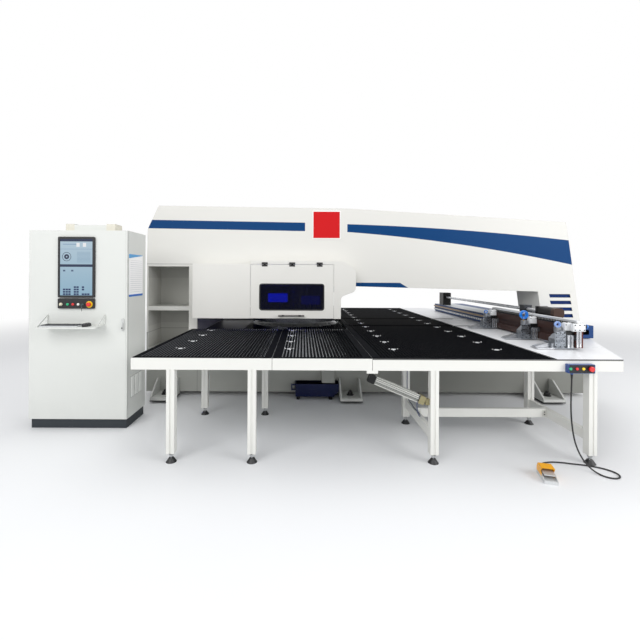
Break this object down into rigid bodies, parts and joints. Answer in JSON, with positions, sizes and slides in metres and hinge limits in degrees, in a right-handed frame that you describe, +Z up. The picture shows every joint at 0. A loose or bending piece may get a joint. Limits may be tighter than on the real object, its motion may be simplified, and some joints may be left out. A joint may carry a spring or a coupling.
{
  "type": "cnc turret punch press",
  "caption": "Closed-frame turret punch press with long brush tables, a sheet gantry with clamps, a slug bin, a foot pedal and a separate control cabinet.",
  "frame": {"origin": "on the floor under the middle of the whole machine, cabinet and pedal included", "axes": "+X to the operator's right along the frame, +Y away from the operator along the tables, +Z up"},
  "size_m": [6.736, 5.5267, 2.525],
  "materials": {
    "white_cover": "satin powder coat",
    "white_beam": "satin powder coat",
    "grey_bracket": "satin paint",
    "cabinet_white": "fine textured powder coat",
    "machine_blue": "semi-gloss paint",
    "bin_blue": "semi-gloss paint",
    "brush_black": "nylon bristle",
    "plate_steel": "ground",
    "bright_steel": "polished",
    "rail_steel": "ground",
    "turret_steel": "turned, oiled",
    "tool_steel": "ground",
    "bar_brown": "semi-gloss paint",
    "clamp_zinc": "zinc plated",
    "motor_black": "matte paint",
    "foot_black": "moulded",
    "panel_black": "fine texture",
    "key_grey": "moulded",
    "window_navy": "tinted acrylic",
    "handle_dark": "moulded",
    "green_cap": "gloss",
    "red_cap": "gloss",
    "white_cap": "gloss",
    "yellow_cap": "gloss",
    "cream_knob": "gloss",
    "box_blue": "semi-gloss paint",
    "pedal_yellow": "gloss paint",
    "pedal_grey": "cast",
    "cable_black": "satin sheath",
    "hose_blue": "polyurethane",
    "cylinder_alu": "anodised"
  },
  "bodies": {
    "machine": {"base_frame": "white_cover", "left_column": "white_cover", "right_column": "white_cover", "upper_beam": "white_cover", "machine_feet": "grey_bracket", "turret_hood": "white_cover", "rear_hood": "white_cover", "ram_cylinder": "machine_blue", "left_table_frame": "white_beam", "middle_table_frame": "white_beam", "right_table_frame": "white_beam", "table_feet": "foot_black", "left_brush_table": "brush_black", "middle_brush_table": "brush_black", "right_brush_table": "brush_black", "steel_plate": "plate_steel", "ball_transfers": "bright_steel", "guide_rails": "rail_steel", "cabinet_body": "cabinet_white", "side_cooler": "cabinet_white", "control_box": "box_blue", "foot_pedal": "pedal_yellow", "pedal_cable": "cable_black", "air_cylinder": "cylinder_alu", "air_hose": "hose_blue", "slug_bin": "bin_blue"},
    "housing_door": {"hood_door": "white_cover", "door_window": "window_navy", "door_handle": "handle_dark"},
    "turret_top": {"upper_turret": "turret_steel", "punch_tools": "tool_steel"},
    "turret_bottom": {"lower_turret": "turret_steel"},
    "ram": {"ram": "bright_steel"},
    "gantry": {"gantry_beam": "machine_blue", "screw_motor": "motor_black"},
    "screw": {"carriage_screw": "bright_steel"},
    "carriage": {"carriage_bar": "bar_brown"},
    "cabinet_front": {"cabinet_door": "cabinet_white", "operator_panel": "panel_black", "keyboard_tray": "cabinet_white", "keyboard": "key_grey", "mouse": "panel_black"},
    "latch": {"door_latch": "foot_black"},
    "treadle": {"treadle": "pedal_grey"},
    "clamp_1": {"clamp_body_1": "clamp_zinc"},
    "jaw_1": {"clamp_jaw_1": "clamp_zinc"},
    "clamp_2": {"clamp_body_2": "clamp_zinc"},
    "jaw_2": {"clamp_jaw_2": "clamp_zinc"},
    "clamp_3": {"clamp_body_3": "clamp_zinc"},
    "jaw_3": {"clamp_jaw_3": "clamp_zinc"},
    "mode_knob": {"mode_knob": "cream_knob"},
    "key_switch": {"key_switch": "rail_steel"},
    "green_button": {"green_button": "green_cap"},
    "red_button": {"red_button": "red_cap"},
    "white_button": {"white_button": "white_cap"},
    "panel_stop": {"panel_stop": "red_cap"},
    "box_green": {"box_green": "green_cap"},
    "box_red": {"box_red": "red_cap"},
    "box_yellow": {"box_yellow": "yellow_cap"},
    "box_stop": {"box_stop": "red_cap"}
  },
  "joints": [
    {"name": "housing_door_hinge", "type": "hinge", "parent": "machine", "child": "housing_door", "pos_m": [-0.573, -0.85608, 1.753], "axis": [-1, 0, 0], "range_deg": [0, 80]},
    {"name": "turret_spin", "type": "hinge", "parent": "machine", "child": "turret_top", "pos_m": [-0.573, 0.15292, 0.95], "axis": [0, 0, 1], "continuous": true},
    {"name": "lower_turret_spin", "type": "hinge", "parent": "machine", "child": "turret_bottom", "pos_m": [-0.573, 0.15292, 0.893], "axis": [0, 0, 1], "continuous": true},
    {"name": "ram_stroke", "type": "slide", "parent": "machine", "child": "ram", "axis": [0, 0, -1], "range_m": [0, 0.037]},
    {"name": "gantry_travel", "type": "slide", "parent": "machine", "child": "gantry", "axis": [-1, 0, 0], "range_m": [0, 1.25]},
    {"name": "carriage_travel", "type": "slide", "parent": "gantry", "child": "carriage", "axis": [0, 1, 0], "range_m": [0, 2.45]},
    {"name": "clamp_1_place", "type": "slide", "parent": "carriage", "child": "clamp_1", "axis": [0, 1, 0], "range_m": [0, 0.25]},
    {"name": "jaw_1_open", "type": "hinge", "parent": "clamp_1", "child": "jaw_1", "pos_m": [1.967, -1.96308, 0.938], "axis": [0, 1, 0], "range_deg": [0, 12]},
    {"name": "clamp_2_place", "type": "slide", "parent": "carriage", "child": "clamp_2", "axis": [0, 1, 0], "range_m": [-0.2, 0.4]},
    {"name": "jaw_2_open", "type": "hinge", "parent": "clamp_2", "child": "jaw_2", "pos_m": [1.967, -1.40608, 0.938], "axis": [0, 1, 0], "range_deg": [0, 12]},
    {"name": "clamp_3_place", "type": "slide", "parent": "carriage", "child": "clamp_3", "axis": [0, 1, 0], "range_m": [-0.35, 0]},
    {"name": "jaw_3_open", "type": "hinge", "parent": "clamp_3", "child": "jaw_3", "pos_m": [1.967, -0.53608, 0.938], "axis": [0, 1, 0], "range_deg": [0, 12]},
    {"name": "screw_spin", "type": "hinge", "parent": "gantry", "child": "screw", "pos_m": [2.347, -1.24278, 1.2], "axis": [0, 1, 0], "range_deg": [0, 22060]},
    {"name": "cabinet_door_hinge", "type": "hinge", "parent": "machine", "child": "cabinet_front", "pos_m": [-3.292, -1.74208, 1.031], "axis": [0, 0, -1], "range_deg": [0, 110]},
    {"name": "latch_turn", "type": "hinge", "parent": "cabinet_front", "child": "latch", "pos_m": [-2.317, -1.74208, 1.134], "axis": [0, 1, 0], "range_deg": [0, 90]},
    {"name": "mode_knob_turn", "type": "hinge", "parent": "cabinet_front", "child": "mode_knob", "pos_m": [-2.947, -1.76208, 1.294], "axis": [0, 1, 0], "range_deg": [-60, 60]},
    {"name": "key_turn", "type": "hinge", "parent": "cabinet_front", "child": "key_switch", "pos_m": [-2.721, -1.76208, 1.294], "axis": [0, 1, 0], "range_deg": [0, 90]},
    {"name": "green_button_press", "type": "slide", "parent": "cabinet_front", "child": "green_button", "axis": [0, 1, 0], "range_m": [0, 0.004], "stiffness_N_per_m": 200, "springref_m": -0.002},
    {"name": "red_button_press", "type": "slide", "parent": "cabinet_front", "child": "red_button", "axis": [0, 1, 0], "range_m": [0, 0.004], "stiffness_N_per_m": 200, "springref_m": -0.002},
    {"name": "white_button_press", "type": "slide", "parent": "cabinet_front", "child": "white_button", "axis": [0, 1, 0], "range_m": [0, 0.004], "stiffness_N_per_m": 200, "springref_m": -0.002},
    {"name": "panel_stop_press", "type": "slide", "parent": "cabinet_front", "child": "panel_stop", "axis": [0, 1, 0], "range_m": [0, 0.005]},
    {"name": "box_green_press", "type": "slide", "parent": "machine", "child": "box_green", "axis": [0, 1, 0], "range_m": [0, 0.004], "stiffness_N_per_m": 200, "springref_m": -0.002},
    {"name": "box_red_press", "type": "slide", "parent": "machine", "child": "box_red", "axis": [0, 1, 0], "range_m": [0, 0.004], "stiffness_N_per_m": 200, "springref_m": -0.002},
    {"name": "box_yellow_press", "type": "slide", "parent": "machine", "child": "box_yellow", "axis": [0, 1, 0], "range_m": [0, 0.004], "stiffness_N_per_m": 200, "springref_m": -0.002},
    {"name": "box_stop_press", "type": "slide", "parent": "machine", "child": "box_stop", "axis": [0, 1, 0], "range_m": [0, 0.005]},
    {"name": "treadle_press", "type": "hinge", "parent": "machine", "child": "treadle", "pos_m": [1.50377, -2.60522, 0.061], "axis": [0.9636, -0.2672, 0], "range_deg": [0, 8], "stiffness_Nm_per_rad": 1, "springref_deg": -17.19}
  ],
  "couplings": [
    {"joint": "lower_turret_spin", "follows": "turret_spin", "ratio": 1},
    {"joint": "screw_spin", "follows": "carriage_travel", "rad_per_m": 157.08}
  ]
}
